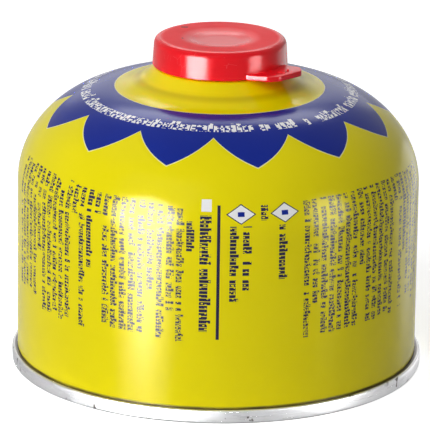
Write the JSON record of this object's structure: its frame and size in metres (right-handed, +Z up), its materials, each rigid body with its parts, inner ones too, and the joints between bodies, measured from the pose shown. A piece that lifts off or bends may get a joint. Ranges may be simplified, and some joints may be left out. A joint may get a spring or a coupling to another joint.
{
  "type": "gas canister",
  "caption": "Squat screw-thread gas canister: drawn shoulder, seamed domed base, threaded valve boss with a sprung stem, and a press-fit cap with a pull tab.",
  "frame": {"origin": "centre of the foot, at the level of the surface that the canister stands on", "axes": "+Z up along the can's axis; -Y faces the front of the print; the pull tab of the cap points between -Y and +X"},
  "size_m": [0.111, 0.111, 0.0899],
  "materials": {
    "lacquer": "yellow gloss lacquer with a blue printed band on the shoulder",
    "tinplate": "bare bright tinplate",
    "cup_steel": "drawn tinplate, satin",
    "seal_rubber": "black nitrile rubber",
    "housing_plastic": "natural acetal",
    "stem_brass": "turned brass",
    "spring_steel": "drawn stainless wire",
    "cap_plastic": "red moulded polyethylene, satin gloss"
  },
  "bodies": {
    "can": {"can_body": "lacquer", "bottom_end": "tinplate", "mounting_cup": "cup_steel", "cup_gasket": "seal_rubber", "stem_gasket": "seal_rubber", "valve_housing": "housing_plastic", "valve_spring": "spring_steel"},
    "stem": {"valve_stem": "stem_brass"},
    "lid": {"cap": "cap_plastic"}
  },
  "joints": [
    {"name": "cap_pull", "type": "slide", "parent": "can", "child": "lid", "axis": [0, 0, 1], "range_m": [0, 0.03]},
    {"name": "valve_press", "type": "slide", "parent": "can", "child": "stem", "axis": [0, 0, -1], "range_m": [0, 0.0015], "stiffness_N_per_m": 1500, "springref_m": -0.001, "deforming": ["valve_spring"]}
  ]
}
